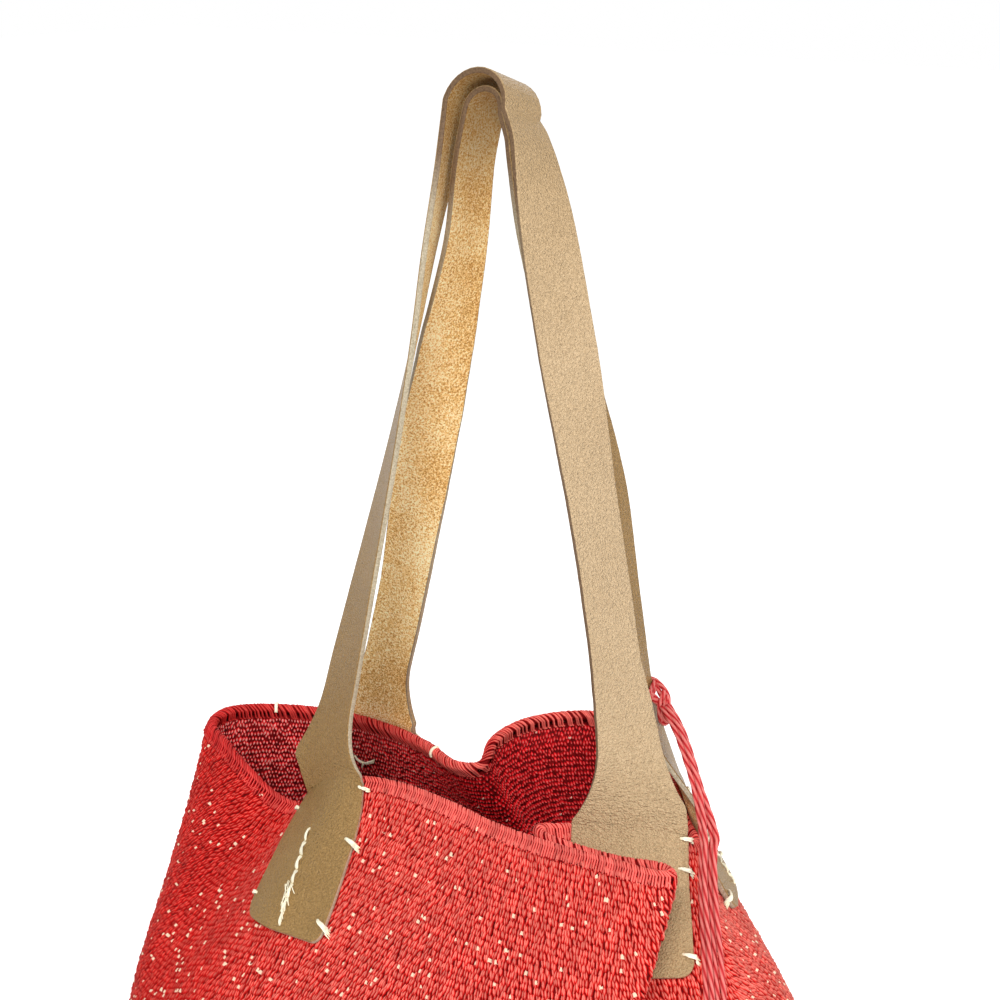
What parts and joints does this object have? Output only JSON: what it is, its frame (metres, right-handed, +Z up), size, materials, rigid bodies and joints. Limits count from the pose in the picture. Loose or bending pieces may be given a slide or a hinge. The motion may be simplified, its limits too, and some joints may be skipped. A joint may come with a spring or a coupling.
{
  "type": "basket bag",
  "caption": "Hand-twined open basket bag with a folded mouth, a rolled edge, long leather handles on sewn tabs, and a yarn tie round a handle.",
  "frame": {"origin": "on the surface it stands on, under the middle of the basket's box", "axes": "+X along the mouth to the side with the fold and the yarn, +Y from the front wall to the back wall, +Z up towards the handles"},
  "size_m": [0.3553, 0.2353, 0.6265],
  "materials": {
    "weave": "twined plant fibre, red with scattered pale flecks, matt",
    "edge_cord": "whipped cord, deep red, matt",
    "leather": "fine grained taupe outside with a soft sheen, napped tan flesh inside",
    "thread": "waxed cream thread",
    "yarn": "soft twisted yarn"
  },
  "bodies": {
    "basket": {"woven_body": "weave", "rolled_edge": "edge_cord", "front_left_tab": "leather", "front_right_tab": "leather", "back_left_tab": "leather", "back_right_tab": "leather", "front_left_seam": "thread", "front_left_stitch_1": "thread", "front_left_stitch_2": "thread", "front_left_stitch_3": "thread", "front_left_stitch_4": "thread", "front_left_stitch_5": "thread", "front_right_seam": "thread", "front_right_stitch_1": "thread", "front_right_stitch_2": "thread", "front_right_stitch_3": "thread", "front_right_stitch_4": "thread", "back_left_seam": "thread", "back_left_stitch_1": "thread", "back_left_stitch_2": "thread", "back_left_stitch_3": "thread", "back_left_stitch_4": "thread", "back_left_stitch_5": "thread", "back_left_stitch_6": "thread", "back_right_seam": "thread", "back_right_stitch_1": "thread", "back_right_stitch_2": "thread", "back_right_stitch_3": "thread", "back_right_stitch_4": "thread", "back_right_stitch_5": "thread", "seam_knot": "thread", "inside_tuft": "thread", "yarn_strand_1": "yarn", "yarn_strand_2": "yarn", "yarn_strand_3": "yarn", "yarn_strand_4": "yarn"},
    "front_handle": {"front_strap": "leather", "front_left_neck": "leather", "front_right_neck": "leather"},
    "back_handle": {"back_strap": "leather", "back_left_neck": "leather", "back_right_neck": "leather", "yarn_tie": "yarn"}
  },
  "joints": [
    {"name": "front_handle_swing", "type": "hinge", "parent": "basket", "child": "front_handle", "pos_m": [0.00797, -0.0052, 0.32018], "axis": [0.9903, 0.1393, 0.0025], "range_deg": [0, 95], "deforming": ["front_left_neck", "front_right_neck"]},
    {"name": "back_handle_swing", "type": "hinge", "parent": "basket", "child": "back_handle", "pos_m": [-0.00314, 0.04807, 0.32012], "axis": [-1, 0.005, 0.001], "range_deg": [0, 100], "deforming": ["back_left_neck", "back_right_neck", "yarn_strand_1", "yarn_strand_2", "yarn_strand_3", "yarn_strand_4"]}
  ]
}
